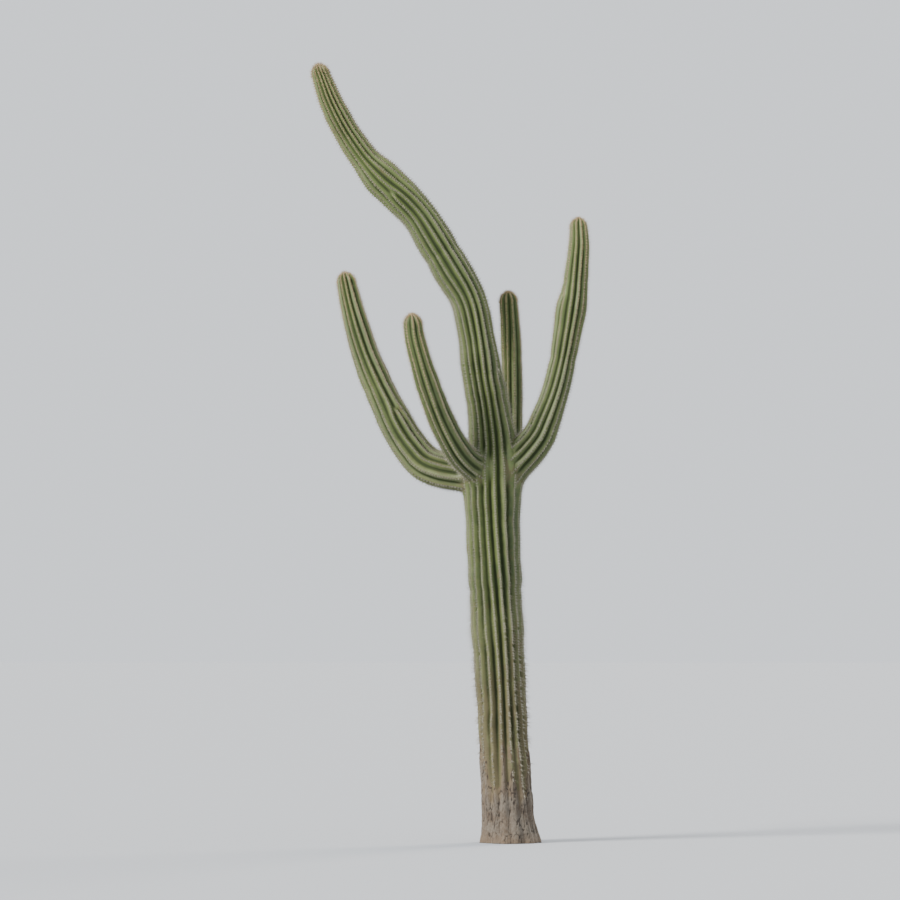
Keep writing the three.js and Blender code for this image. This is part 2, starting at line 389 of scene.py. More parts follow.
def tube_piece(name, points, foot, top):
    """A closed skin through a grid of rings by angles, with a fan to a point in its foot and one in its top.
    It also gives the corners and sizes of its faces."""
    rows, columns = points.shape[:2]
    vertices = np.vstack([points.reshape(-1, 3), foot, top])
    index = np.arange(rows * columns).reshape(rows, columns)
    turned = np.roll(index, -1, axis=1)
    quads = np.stack([index[:-1], turned[:-1], turned[1:], index[1:]], axis=-1).reshape(-1, 4)
    foot_fan = np.stack([turned[0], index[0], np.full(columns, rows * columns)], axis=-1)
    top_fan = np.stack([index[-1], turned[-1], np.full(columns, rows * columns + 1)], axis=-1)
    corners = np.concatenate([quads.ravel(), foot_fan.ravel(), top_fan.ravel()])
    sizes = np.concatenate([np.full(len(quads), 4), np.full(2 * columns, 3)])
    return mesh_object(name, vertices, corners, sizes), corners, sizes


def keep(piece, name, values):
    """Keeps a number or a vector of every vertex in an attribute of the piece."""
    kind, field = ("FLOAT", "value") if values.ndim == 1 else ("FLOAT_VECTOR", "vector")
    kept = piece.data.attributes.new(name, kind, "POINT")
    kept.data.foreach_set(field, values.astype(np.float32).ravel())


def ring_grid(stem, length, columns):
    """The two parameters of a skin: rings at lengths along a stem, as columns, and a row of angles."""
    rings = {key: value[:, None] for key, value in stem_rings(stem, length).items()}
    return rings, np.linspace(0, 2 * np.pi, columns, endpoint=False)[None, :]


def skin_piece(name, stem, start, columns, rows):
    """The skin of a stem from a length on to its tip. Its UV map holds the rib phase and the length up the
    stem, made continuous inside each face. Its attributes hold each point's place if the stem stood
    straight, and how deep in a groove and how near another stem it is."""
    on_dome = stem["length"] + stem["dome"] * LAST_RING_SHARE * np.linspace(0, 1, TIP_ROWS + 1)[1:]
    length = np.concatenate([np.linspace(start, stem["length"], rows), on_dome])
    rings, angle = ring_grid(stem, length, columns)
    skin = stem_skin(stem, rings, angle)
    pole = stem_rings(stem, np.array([stem["end"]]))["centre"]
    piece, corners, sizes = tube_piece(name, skin["point"], rings["centre"][0], pole)

    around = np.stack([np.sin(angle) * rings["radius"], np.cos(angle) * rings["radius"]], axis=-1)
    around = np.vstack([around.reshape(-1, 2), np.zeros((2, 2))])
    grid_length = np.append(np.repeat(length, columns), [start, stem["end"]])
    keep(piece, "straight", np.column_stack([around, grid_length]) + stem["stations"][0, :3])
    keep(piece, "fold", np.append(skin["fold"].ravel(), [0, 0]))
    keep(piece, "shoulder", np.append(skin["shoulder"].ravel(), [0, 0]))

    grid_phase = np.append(skin["phase"].ravel(), [0, 0])
    first = np.repeat(grid_phase[corners[np.cumsum(sizes) - sizes]], sizes)
    corner_phase = grid_phase[corners]
    corner_phase = corner_phase - np.round(corner_phase - first)
    pattern = piece.data.uv_layers.new(name="ribs")
    uv = np.stack([corner_phase, grid_length[corners]], axis=-1)
    pattern.data.foreach_set("uv", uv.astype(np.float32).ravel())
    return piece


def connect(node, values):
    """Links readings to a node's sockets and sets plain numbers in them."""
    for key, value in values.items():
        if isinstance(value, Reading):
            node.id_data.links.new(value.socket, node.inputs[key])
        else:
            node.inputs[key].default_value = value


class Reading:
    """A socket read while a material is made. Arithmetic on readings adds Math nodes."""

    def __init__(self, tree, socket):
        self.tree, self.socket = tree, socket

    def node(self, kind, settings, sockets, out=0):
        """Any other node: its settings are made first, then its sockets get values or readings."""
        made = self.tree.nodes.new(kind)
        for name, value in settings.items():
            setattr(made, name, value)
        connect(made, sockets)
        return Reading(self.tree, made.outputs[out])

    def worked(self, operation, *numbers):
        """A Math node on readings and plain numbers."""
        return self.node("ShaderNodeMath", {"operation": operation}, dict(enumerate(numbers)))

    def __add__(self, other):
        return self.worked("ADD", self, other)

    __radd__ = __add__

    def __sub__(self, other):
        return self.worked("SUBTRACT", self, other)

    def __rsub__(self, other):
        return self.worked("SUBTRACT", other, self)

    def __mul__(self, other):
        return self.worked("MULTIPLY", self, other)

    __rmul__ = __mul__

    def kept(self, name, out=2):
        """A number that the mesh keeps in an attribute, or with out=1 a vector."""
        return self.node("ShaderNodeAttribute", {"attribute_name": name}, {}, out)

    def axis(self, number):
        """One number of a vector: 0, 1 or 2 for X, Y or Z."""
        return self.node("ShaderNodeSeparateXYZ", {}, {0: self}, out=number)

    def stretched(self, x, y, z):
        """This place with its axes multiplied."""
        return self.node("ShaderNodeMapping", {}, {"Vector": self, "Scale": (x, y, z)})

    def wave(self):
        """Cosine from 0 to 1, which is 1 at whole numbers."""
        return self.worked("COSINE", self * (2 * np.pi)) * 0.5 + 0.5

    def step(self, low, high):
        """0 below low and 1 above high, smooth between them."""
        settings = {"interpolation_type": "SMOOTHSTEP"}
        return self.node("ShaderNodeMapRange", settings, {0: self, 1: low, 2: high})

    def noise(self, scale, detail, rough):
        """Noise from 0 to 1 over this place, with a mean of 0.5, by cells to a metre, octaves, and their
        falling strength."""
        sockets = {"Vector": self, "Scale": scale, "Detail": detail, "Roughness": rough}
        return self.node("ShaderNodeTexNoise", {}, sockets)

    def mixed(self, other, share):
        """This reading mixed with a share of another."""
        return self * (1 - share) + other * share

    def bumped(self):
        """The surface tilted as if this reading were its relief in metres."""
        return self.node("ShaderNodeBump", {}, {"Strength": 1.0, "Distance": 1.0, "Height": self})

    def blend(self, under, over):
        """The colour under where this reading is 0. Where it is 1, the colour over covers as much of that as
        its fourth number says."""
        sockets = {0: self * over[3], 6: under, 7: over}
        return self.node("ShaderNodeMix", {"data_type": "RGBA"}, sockets, out=2)


def new_finish(name):
    """An empty material with its shader, and a first reading of the object's own coordinates."""
    material = bpy.data.materials.new(name)
    material.use_nodes = True
    shader = material.node_tree.nodes["Principled BSDF"]
    place = Reading(material.node_tree, None).node("ShaderNodeTexCoord", {}, {}, out=3)
    return material, shader, place


def painted(colour, coats):
    """A colour with coats laid over it in turn: each is a reading of where it lies, and a colour."""
    for where, over in coats:
        colour = where.blend(colour, over)
    return colour


# The rind's colours. The fourth number is the most that a colour covers of those under it
DEEP_GREEN = (0.050, 0.075, 0.017, 1)
PALE_GREEN = (0.104, 0.131, 0.034, 1)
FRESH_GREEN = (0.108, 0.152, 0.034, 0.7)
OLD_OLIVE = (0.122, 0.112, 0.042, 0.75)
SPECK_GREEN = (*DEEP_GREEN[:3], 0.3)
CREST_GREEN = (0.155, 0.165, 0.072, 1)
RIND_BROWN = (0.092, 0.066, 0.034, 0.65)
# Painted shade, darkest deep in the grooves
GROOVE_SHADE_GREEN = (0.018, 0.029, 0.007, 0.9)
NICK_TAN = (0.200, 0.150, 0.085, 0.8)

# Its noises, by cells to a metre, octaves and their falling strength, and what the stem's axes are
# multiplied by for streaks that run up it and wrinkles that run across it
BROAD_NOISE = (1.9, 3.0, 0.5)
MOTTLE_NOISE = (21.0, 6.0, 0.65)
FINE_NOISE = (170.0, 3.0, 0.5)
NICK_NOISE = (30.0, 5.0, 0.6)
STREAK_AXES = (8.0, 8.0, 1.1)
STREAK_NOISE = (3.0, 4.0, 0.6)
WRINKLE_AXES = (1.0, 1.0, 7.0)
WRINKLE_NOISE = (11.0, 4.0, 0.6)

# The share of mottling in the greens and in the brown, what age and a crease add to the brown, and how much
# the pale green covers a crest by itself and for mottling
GREEN_MOTTLE = 0.45
BROWN_MOTTLE = 0.4
AGE_BROWNING = 0.17
CREASE_BROWNING = 0.10
CREST_PALENESS = 0.3
CREST_MOTTLE = 0.45

# How many metres noise moves the heights where the rind turns fresh, and where it turns old
FRESH_DRIFT = 1.6
STREAK_DRIFT = 2.2
MOTTLE_DRIFT = 0.8

# Where each pattern climbs from nothing to full
CREASE_RANGE = (0.45, 1.0)
PALE_RANGE = (0.38, 0.64)
SPECK_RANGE = (0.36, 0.76)
CREST_RANGE = (0.70, 1.0)
NOTCH_RANGE = (0.60, 1.0)
BROWN_RANGE = (0.555, 0.66)
# The painted shade deep in the grooves
GROOVE_SHADE_RANGE = (0.30, 0.95)
DUST_RANGE = (0.50, 0.85)
NICK_RANGE = (0.69, 0.73)

# Its relief in metres: fine grain, the notches that the step from pad to pad cuts into the crests, wrinkles,
# of which the youngest rind has a share, and nicks
FINE_HEIGHT = 0.00063
AREOLE_STEP = 0.022
NOTCH_HEIGHT = 0.00126
WRINKLE_HEIGHT = 0.00252
YOUNG_WRINKLES = 0.35
NICK_DEPTH = 0.00072

# Its roughness, and how much rougher fine grain, nicks, brown rind and dust in the grooves make it
RIND_ROUGHNESS = 0.50
FINE_ROUGHNESS = 0.14
NICK_ROUGHNESS = 0.24
BROWN_ROUGHNESS = 0.15
DUST_ROUGHNESS = 0.50


def rind_finish(name, old_below, fresh_above):
    """The rind of stems: paler on the crests, and deep green in the grooves, where shade is painted. It is
    olive and streaked with brown below one range of heights and fresh green above another. It has healed tan
    nicks and fine wrinkles, is browner in the crease between two stems, and is dull with dust deep in its
    grooves."""
    material, shader, place = new_finish(name)
    ribs = place.node("ShaderNodeUVMap", {"uv_map": "ribs"}, {})
    straight, fold, shoulder = place.kept("straight", out=1), place.kept("fold"), place.kept("shoulder")
    phase, length, height = ribs.axis(0), ribs.axis(1), place.axis(2)
    crease = shoulder.step(*CREASE_RANGE)
    crest = phase.wave() * (1 - crease)
    broad, mottle = straight.noise(*BROAD_NOISE), straight.noise(*MOTTLE_NOISE)
    fine, nicks = straight.noise(*FINE_NOISE), straight.noise(*NICK_NOISE).step(*NICK_RANGE)
    streaks = straight.stretched(*STREAK_AXES).noise(*STREAK_NOISE)
    fresh = (height + (broad - 0.5) * FRESH_DRIFT).step(*fresh_above)
    age = 1 - (height + (streaks - 0.5) * STREAK_DRIFT + (mottle - 0.5) * MOTTLE_DRIFT).step(*old_below)
    browning = streaks.mixed(mottle, BROWN_MOTTLE) + age * AGE_BROWNING + crease * CREASE_BROWNING
    brown = browning.step(*BROWN_RANGE)

    green = broad.mixed(mottle, GREEN_MOTTLE).step(*PALE_RANGE).blend(DEEP_GREEN, PALE_GREEN)
    colour = painted(green, (
        (fresh, FRESH_GREEN),
        (age, OLD_OLIVE),
        (fine.step(*SPECK_RANGE), SPECK_GREEN),
        (crest.step(*CREST_RANGE) * (CREST_PALENESS + mottle * CREST_MOTTLE), CREST_GREEN),
        (brown, RIND_BROWN),
        # Painted shade deep in the grooves
        (fold.step(*GROOVE_SHADE_RANGE), GROOVE_SHADE_GREEN),
        (nicks, NICK_TAN),
    ))

    notches = (length * (1 / AREOLE_STEP) + phase * 0.5).wave() * crest.step(*NOTCH_RANGE)
    wrinkles = straight.stretched(*WRINKLE_AXES).noise(*WRINKLE_NOISE) * (YOUNG_WRINKLES + age)
    relief = fine * FINE_HEIGHT + notches * NOTCH_HEIGHT + wrinkles * WRINKLE_HEIGHT - nicks * NICK_DEPTH
    roughness = RIND_ROUGHNESS + fine * FINE_ROUGHNESS + nicks * NICK_ROUGHNESS
    roughness = roughness + brown * BROWN_ROUGHNESS + fold.step(*DUST_RANGE) * DUST_ROUGHNESS
    connect(shader, {"Base Color": colour, "Roughness": roughness, "Normal": relief.bumped()})
    return material


trunk_skin = skin_piece("trunk_skin", trunk, SKIN_START, TRUNK_COLUMNS, TRUNK_ROWS)
trunk_skin.data.materials.append(
    rind_finish("trunk_rind", old_below=(0.6, 2.6), fresh_above=(3.8, 6.2))
)
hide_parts("trunk")
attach(trunk_skin, "root")

# Arm skins: an arm is a stem of the same build as the trunk, with fewer ribs, younger and so greener. Its
# elbow and its upright stretch are one unbroken rind, which grows out of the trunk's in a soft crease.
ARM_COLUMNS_PER_RIB = 12
ARM_ROW_STEP = 0.009

arm_rind = rind_finish("arm_rind", old_below=(2.2, 3.5), fresh_above=(3.6, 5.0))
for arm, stem in zip(ARMS, arms):
    columns = ARM_COLUMNS_PER_RIB * (arm["ribs"] + len(arm["rib_changes"]))
    skin = skin_piece(arm["name"] + "_skin", stem, 0.0, columns, int(stem["length"] / ARM_ROW_STEP))
    skin.data.materials.append(arm_rind)
    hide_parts(arm["name"], arm["name"] + "_elbow")
    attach(skin, "root")

# Bark: on the old foot the rind has died back to hard grey-brown cork, which fills the grooves, splits into
# upright furrows and cross cracks, and thins out upwards in ragged streaks. At the ground it spreads into
# the shoulders of the roots.
BARK_COLUMNS = 360
BARK_ROWS = 236
BARK_REACH = 1.32

# The mean height of its upper edge, the height over which its age falls by 1, how much older it is on a
# crest than in a groove, and noise that makes the edge ragged: two sizes of upright streaks, and patches
BARK_HEIGHT = 0.652
BARK_FADE = 0.42
CREST_AGE = 0.5
EDGE_LAYERS = ((0.42, (24, 24, 3.0), 21), (0.21, (58, 58, 11), 22), (0.55, (7, 7, 5), 23))

# Its thickness, how deep inside the rind the shell runs where no bark has grown, and how fast it thickens
# with age, which is full at this age
BARK_THICKNESS = 0.003
BARK_SUNK = 0.005
BARK_GROWTH = 0.008
FULL_AGE = 0.625

# Its relief: the depth of furrows, how far the noise is from 0 at their edges and at those of cross cracks,
# the share of the depth that these reach, how high the plates between them lie, and the noises themselves
FURROW_DEPTH = 0.0055
FURROW_BREADTH = 0.30
CROSS_BREADTH = 0.26
CROSS_SHARE = 0.55
PLATE_LEVEL = 0.8
FURROW_LAYERS = ((1.0, (46, 46, 8), 24), (0.35, (110, 110, 30), 25))
CROSS_LAYERS = ((1.0, (19, 19, 62), 26), (0.35, (50, 50, 120), 27))
PLATE_LAYERS = ((0.35, 34, 28),)
SWELLING_LAYERS = ((0.005, 9, 29),)

# Root shoulders: how many, how high and far out they reach, how steeply they fall off upwards, and how
# unevenly they stand round the foot
ROOT_SHOULDERS = 7
ROOT_SHOULDER_HEIGHT = 0.13
ROOT_SHOULDER_RISE = 0.012
ROOT_SHOULDER_FALL = 1.5
ROOT_SHOULDER_DRIFT = 1.5
ROOT_SHOULDER_START = 0.7


def bark_age(points, phase):
    """How far the rind has turned to bark: 1 or more at the foot, 0 at its ragged upper edge and less above.
    It falls evenly with the height, plus noise, and runs higher up the crests."""
    even = (BARK_HEIGHT - points[..., 2]) / BARK_FADE
    crest = CREST_AGE * (rib_height(phase) - MEAN_RIB_HEIGHT)
    return even + crest + layered_grain(points, EDGE_LAYERS)


def bark_relief(points):
    """Height of the bark from 0 in its cracks to about 1: noise drawn out upwards is split along its middle
    values into furrows, and noise drawn out sideways into cross cracks."""
    beside_furrow = smooth_step(np.abs(layered_grain(points, FURROW_LAYERS)), 0, FURROW_BREADTH)
    beside_cross = smooth_step(np.abs(layered_grain(points, CROSS_LAYERS)), 0, CROSS_BREADTH)
    plate = PLATE_LEVEL + layered_grain(points, PLATE_LAYERS)
    return plate * beside_furrow * (1 - CROSS_SHARE * (1 - beside_cross))


def bark_rise(points, phase):
    """How far the bark stands out from the rind, its relief, and its age from 0 to 1. It rises from its
    sunken level to its thickness as it ages. Its relief comes on top, and so do the root shoulders, which
    are an uneven cosine round the foot."""
    age = bark_age(points, phase)
    old = np.clip(age / FULL_AGE, 0, 1)
    relief = bark_relief(points)
    rise = np.clip(BARK_GROWTH * age, -BARK_SUNK, BARK_THICKNESS)
    rise = rise + old * (FURROW_DEPTH * relief + layered_grain(points, SWELLING_LAYERS))

    turn = np.arctan2(points[..., 1], points[..., 0])
    drift = ROOT_SHOULDER_DRIFT * np.sin(2 * turn + ROOT_SHOULDER_START)
    lobes = np.cos(ROOT_SHOULDERS * turn + drift)
    near_ground = (1 - smooth_step(points[..., 2], 0, ROOT_SHOULDER_HEIGHT)) ** ROOT_SHOULDER_FALL
    return rise + ROOT_SHOULDER_RISE * near_ground * lobes, relief, old


def bark_piece(name):
    """The bark as a closed shell round the foot, on the same rings and ribs as the trunk's skin. Its relief
    and age are kept in attributes for its colours."""
    rings, angle = ring_grid(trunk, np.linspace(0, BARK_REACH, BARK_ROWS), BARK_COLUMNS)
    skin = stem_skin(trunk, rings, angle)
    rise, relief, old = bark_rise(skin["point"], skin["phase"])
    points = skin["point"] + rise[..., None] * skin["facing"]
    points[..., 2] = np.maximum(points[..., 2], 0)
    points[0, :, 2] = 0
    piece = tube_piece(name, points, rings["centre"][0], rings["centre"][-1])[0]
    keep(piece, "relief", np.append(relief.ravel(), [0, 0]))
    keep(piece, "age", np.append(old.ravel(), [0, 0]))
    return piece


# The cork's colours. The fourth number is the most that a colour covers of those under it
BARK_BROWN = (0.085, 0.060, 0.040, 1)
BARK_GREY = (0.128, 0.108, 0.084, 1)
BARK_PALE = (0.185, 0.156, 0.117, 0.6)
BARK_YOUNG = (0.125, 0.092, 0.048, 0.7)
SOIL_DUST = (0.150, 0.105, 0.066, 0.7)
# Painted shade in the cracks
PAINTED_CRACK_SHADE = (0.026, 0.018, 0.012, 0.9)

# Its noises, given as the rind's are, the share of mottling in them, and how much fine grain frays the
# edges of the painted shade in the cracks
PATCH_NOISE = (6.0, 4.0, 0.5)
CORK_MOTTLE_NOISE = (34.0, 6.0, 0.65)
CORK_FINE_NOISE = (240.0, 3.0, 0.5)
FIBRE_AXES = (1.0, 1.0, 0.12)
FIBRE_NOISE = (130.0, 4.0, 0.6)
CORK_MOTTLE = 0.4
CRACK_SHADE_FRAYING = 0.3

# Where each pattern climbs from nothing to full, and how high the dust reaches, less this much for mottling
GREY_RANGE = (0.36, 0.62)
FIBRE_RANGE = (0.50, 0.66)
FULL_BARK_RANGE = (0.2, 1.0)
# The painted shade in the cracks
CRACK_SHADE_RANGE = (0.02, 0.34)
SOIL_REACH = 0.16
SOIL_MOTTLE = 0.08

# Its relief in metres, by fibres, mottling and fine grain, and its roughness
FIBRE_HEIGHT = 0.00312
CORK_MOTTLE_HEIGHT = 0.00416
CORK_FINE_HEIGHT = 0.00208
CORK_ROUGHNESS = 0.88


def bark_finish(name):
    """Grey-brown cork: near black in the cracks, where shade is painted, greyer on the weathered faces,
    yellow-brown where it is new at its upper edge, and dusted with soil near the ground."""
    material, shader, place = new_finish(name)
    relief, age = place.kept("relief"), place.kept("age")
    patches, mottle = place.noise(*PATCH_NOISE), place.noise(*CORK_MOTTLE_NOISE)
    fibres, fine = place.stretched(*FIBRE_AXES).noise(*FIBRE_NOISE), place.noise(*CORK_FINE_NOISE)
    brown = patches.mixed(mottle, CORK_MOTTLE).step(*GREY_RANGE).blend(BARK_BROWN, BARK_GREY)
    colour = painted(brown, (
        (fibres.mixed(mottle, CORK_MOTTLE).step(*FIBRE_RANGE), BARK_PALE),
        (1 - age.step(*FULL_BARK_RANGE), BARK_YOUNG),
        (1 - (place.axis(2) + mottle * SOIL_MOTTLE).step(0.0, SOIL_REACH), SOIL_DUST),
        # Painted shade in the cracks
        (1 - (relief + (fine - 0.5) * CRACK_SHADE_FRAYING).step(*CRACK_SHADE_RANGE), PAINTED_CRACK_SHADE),
    ))

    height = fibres * FIBRE_HEIGHT + mottle * CORK_MOTTLE_HEIGHT + fine * CORK_FINE_HEIGHT
    connect(shader, {"Base Color": colour, "Roughness": CORK_ROUGHNESS, "Normal": height.bumped()})
    return material


bark = bark_piece("bark")
bark.data.materials.append(bark_finish("cork"))
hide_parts("trunk")
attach(bark, "root")

# Felt pads: each rib carries a row of small woolly cushions along its crest, a finger's width apart, with
# those of the next rib half a step higher or lower. They are tan and crowded at the growing tips, and grey
# and partly worn away lower down.
PAD_LENGTH = 0.0115
PAD_WIDTH = 0.0090
PAD_HEIGHT = 0.0042
PAD_SIZES = (0.85, 1.2)
PAD_SIDES = 8
TIP_STEP = 0.012
DOME_SHARE = 0.94
STEP_SCATTER = 0.0015
PAD_SAMPLES = 1081

# Pads are missing where another stem lies closer than the clearance, right above the ground, and by these
# shares where the bark is old and on the lowest stretch of the rind, which ends between two lengths
PAD_CLEARANCE = 0.030
LOWEST_PAD = 0.03
LOST_ON_BARK = 0.85
LOST_BELOW = 0.35
LOST_STRETCH = (0.8, 2.2)

# Pads are young up to this distance from the tip, more or less
YOUNG_LENGTH = 0.45
YOUNG_SCATTER = 0.12
FELT_TAN = (0.36, 0.25, 0.12, 1)
FELT_GREY = (0.20, 0.175, 0.135, 1)
FELT_ROUGHNESS = 0.95
draw = np.random.default_rng(11)


def chosen(places, which):
    """The same facts of some of the places."""
    return {key: value[which] for key, value in places.items()}


def pad_places(stem):
    """Places of the pads of one stem: on rings a step apart, wherever the sine of the rib phase climbs
    through zero. Pads that another stem would cover are left out, and most of those on the bark."""
    found = []
    angle = np.linspace(0, 2 * np.pi, PAD_SAMPLES)
    for half in (0, 1):
        on_stem = np.arange((1 + half) * AREOLE_STEP / 2, stem["length"], AREOLE_STEP)
        on_dome = stem["length"] + np.arange(half * TIP_STEP / 2, stem["dome"] * DOME_SHARE, TIP_STEP)
        length = np.concatenate([on_stem, on_dome])
        phase = rib_phase(stem, length[:, None], angle[None, :])[0]
        climb = np.sin(2 * np.pi * phase)
        crest = (climb[:, :-1] < 0) & (climb[:, 1:] >= 0) & (np.cos(2 * np.pi * phase[:, :-1]) > 0)
        row, column = np.nonzero(crest & (np.round(phase[:, :-1]) % 2 == half))
        part = -climb[row, column] / (climb[row, column + 1] - climb[row, column])
        found.append(np.stack([length[row], angle[column] + part * angle[1]]))
    length, angle = np.concatenate(found, axis=1)
    length = np.clip(length + draw.normal(0, STEP_SCATTER, len(length)), 0, None)
    rings = stem_rings(stem, length)
    skin = stem_skin(stem, rings, angle)
    points, facing = skin["point"], skin["facing"]
    kept = np.min([depth_outside(points, other) for other in stem["others"]], axis=0) > PAD_CLEARANCE
    if stem["rooted"]:
        rise, _, old = bark_rise(points, skin["phase"])
        on_bark = length < BARK_REACH
        points = points + (np.clip(rise, 0, None) * on_bark)[:, None] * facing
        lost = LOST_ON_BARK * old * on_bark + LOST_BELOW * (1 - smooth_step(length, *LOST_STRETCH))
        kept &= (points[:, 2] > LOWEST_PAD) & (draw.random(len(points)) > lost)
    beside = unit(np.cross(facing, rings["along"]))
    places = {
        "point": points, "facing": facing, "up": rings["along"], "beside": beside,
        "lengthwise": np.cross(beside, facing), "from_tip": stem["end"] - length,
    }
    return chosen(places, kept)


def repeated_piece(name, vertices, triangles, smooth=True):
    """One piece of many like solids: each row of vertices is a solid, and all have the same triangles."""
    corners = triangles + vertices.shape[1] * np.arange(len(vertices))[:, None, None]
    sizes = np.full(corners.size // 3, 3)
    return mesh_object(name, vertices.reshape(-1, 3), corners.ravel(), sizes, smooth)


def pad_piece(name, pads):
    """Cushions with eight sides: an elliptic rim that is longer up the rib, a top point and a root point."""
    turn = 2 * np.pi * np.arange(PAD_SIDES) / PAD_SIDES
    size = draw.uniform(*PAD_SIZES, (len(pads["point"]), 1, 1))
    rim = PAD_WIDTH / 2 * np.cos(turn)[:, None] * pads["beside"][:, None]
    rim = rim + PAD_LENGTH / 2 * np.sin(turn)[:, None] * pads["lengthwise"][:, None]
    ends = np.array([[1.0], [-1.0]]) * PAD_HEIGHT * pads["facing"][:, None]
    vertices = pads["point"][:, None] + size * np.concatenate([rim, ends], axis=1)
    side = np.arange(PAD_SIDES)
    after = (side + 1) % PAD_SIDES
    over = np.stack([side, after, np.full(PAD_SIDES, PAD_SIDES)], axis=-1)
    under = np.stack([after, side, np.full(PAD_SIDES, PAD_SIDES + 1)], axis=-1)
    return repeated_piece(name, vertices, np.concatenate([over, under]))


def plain_finish(name, colour, roughness):
    """One plain colour for small things that are joined by the thousand."""
    material, shader, _ = new_finish(name)
    connect(shader, {"Base Color": colour, "Roughness": roughness})
    return material


every_pad = [pad_places(stem) for stem in stems]
pads = {key: np.concatenate([some[key] for some in every_pad]) for key in every_pad[0]}
young = pads["from_tip"] + draw.normal(0, YOUNG_SCATTER, len(pads["point"])) < YOUNG_LENGTH
for name, which, colour in (("pads_young", young, FELT_TAN), ("pads_old", ~young, FELT_GREY)):
    piece = pad_piece(name, chosen(pads, which))
    piece.data.materials.append(plain_finish(name + "_felt", colour, FELT_ROUGHNESS))
    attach(piece, "root")

# Tip wool: at each growing tip the newest pads stand so close that their felt meets in one tan cushion,
# which shades the tender point of growth.
WOOL_RADIUS = 0.021
WOOL_HEIGHT = 0.012
WOOL_ROWS = 20
WOOL_COLUMNS = 40
TUFT_LAYERS = ((0.22, 150, 31), (0.10, 420, 32))
WOOL_BROWN = (0.15, 0.095, 0.045, 1)
WOOL_TAN = (0.40, 0.30, 0.17, 1)

# Its noises, given as the rind's are, the share of fibres in its colour, where that turns from brown to tan,
# and its relief in metres
TUFT_NOISE = (190.0, 4.0, 0.6)
WOOL_FIBRE_NOISE = (700.0, 2.0, 0.5)
WOOL_FIBRES = 0.3
TAN_RANGE = (0.36, 0.62)
TUFT_HEIGHT = 0.0015
WOOL_FIBRE_HEIGHT = 0.0009


def wool_piece(name, stem):
    """A squashed ball on the tip, its radius made uneven by noise: rings from its root to its top, closed at
    both ends by a fan."""
    pole = stem_rings(stem, np.array([stem["end"]]))
    centre, across, outward, along = (pole[key][0] for key in ("centre", "across", "outward", "along"))
    rise = np.linspace(-np.pi / 2, np.pi / 2, WOOL_ROWS + 2)[1:-1, None, None]
    turn = np.linspace(0, 2 * np.pi, WOOL_COLUMNS, endpoint=False)[None, :, None]
    flat = np.sin(turn) * across + np.cos(turn) * outward
    ball = WOOL_RADIUS * np.cos(rise) * flat + WOOL_HEIGHT * np.sin(rise) * along
    tufts = 1 + layered_grain(centre + ball, TUFT_LAYERS)
    points = centre + tufts[..., None] * ball
    return tube_piece(name, points, centre - WOOL_HEIGHT * along, centre + WOOL_HEIGHT * along)[0]


def wool_finish(name):
    """Matt tan felt with darker hollows between its tufts."""
    material, shader, place = new_finish(name)
    tufts, fibres = place.noise(*TUFT_NOISE), place.noise(*WOOL_FIBRE_NOISE)
    colour = tufts.mixed(fibres, WOOL_FIBRES).step(*TAN_RANGE).blend(WOOL_BROWN, WOOL_TAN)
    height = tufts * TUFT_HEIGHT + fibres * WOOL_FIBRE_HEIGHT
    connect(shader, {"Base Color": colour, "Roughness": FELT_ROUGHNESS, "Normal": height.bumped()})
    return material


felt = wool_finish("tip_felt")
for name, stem in zip(["trunk"] + [arm["name"] for arm in ARMS], stems):
    wool = wool_piece(name + "_wool", stem)
    wool.data.materials.append(felt)
    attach(wool, "root")

# Spines: hard straight needles that grow out of every pad, a star of short ones lying back over the rib and
# a few long ones standing out of its middle. They are straw-coloured and brown while young, and weather to
# grey. On the lower trunk the long ones are longest and point down.
STAR_SPINES = 15
MIDDLE_SPINES = 5
STAR_LENGTH = (0.010, 0.020)
MIDDLE_LENGTH = (0.018, 0.036)
STAR_THICKNESS = 0.0011
MIDDLE_THICKNESS = 0.0017

# How far spines tilt off the pad's facing, in radians: by a mean and a scatter in the star, and in a range
# in the middle. Their bearings round the pad are scattered too
STAR_TILT = (1.18, 0.12)
MIDDLE_TILT = (0.12, 0.75)
BEARING_SCATTER = 0.25

# Spines stand in the pad at this share of its height, and those of the star on a ring of this radius
ROOT_HEIGHT_SHARE = 0.4
STAR_RING = 0.002

# Below the first of two heights the middle spines are longer by this share and lean down by so much
LOW_TRUNK = (1.7, 2.7)
LOW_GAIN = 0.7
LOW_DROOP = 0.45

# Spines are fresh up to this distance from the tip, more or less, and some of the middle ones are then brown
FRESH_LENGTH = 1.0
FRESH_SCATTER = 0.35
BROWN_SHARE = 0.3
SPINE_BROWN = (0.13, 0.065, 0.030, 1)
SPINE_STRAW = (0.46, 0.37, 0.22, 1)
SPINE_GREY = (0.32, 0.30, 0.24, 1)
SPINE_ROUGHNESS = 0.55

# No spine reaches into the ground, and a piece holds no more of them than this. The corners of a spine are
# set out from Z, or from X where the Z of its direction is over this
LOWEST_POINT = 0.01
SPINES_PER_PIECE = 47000
NEARLY_UPRIGHT = 0.9


